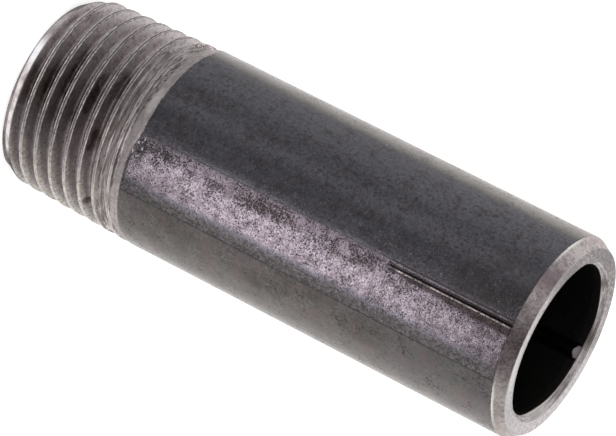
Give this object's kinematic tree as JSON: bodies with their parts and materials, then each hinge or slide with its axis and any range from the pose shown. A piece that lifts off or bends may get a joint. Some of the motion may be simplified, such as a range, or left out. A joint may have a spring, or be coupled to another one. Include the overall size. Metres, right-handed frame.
{
  "type": "weld nipple",
  "caption": "Short steel pipe with a male taper pipe thread at one end and a bevelled plain end for butt welding at the other.",
  "frame": {"origin": "centre of the threaded end's face, on the pipe's axis", "axes": "+Z along the pipe's axis from the threaded end up to the weld end; -Y is the side the picture shows, where the score lies"},
  "size_m": [0.0212, 0.0212, 0.06],
  "materials": {
    "black_steel": "mill scale on the pipe, bare turned steel on the thread and the bevelled end"
  },
  "bodies": {
    "root": {"weld_nipple": "black_steel"}
  },
  "joints": []
}
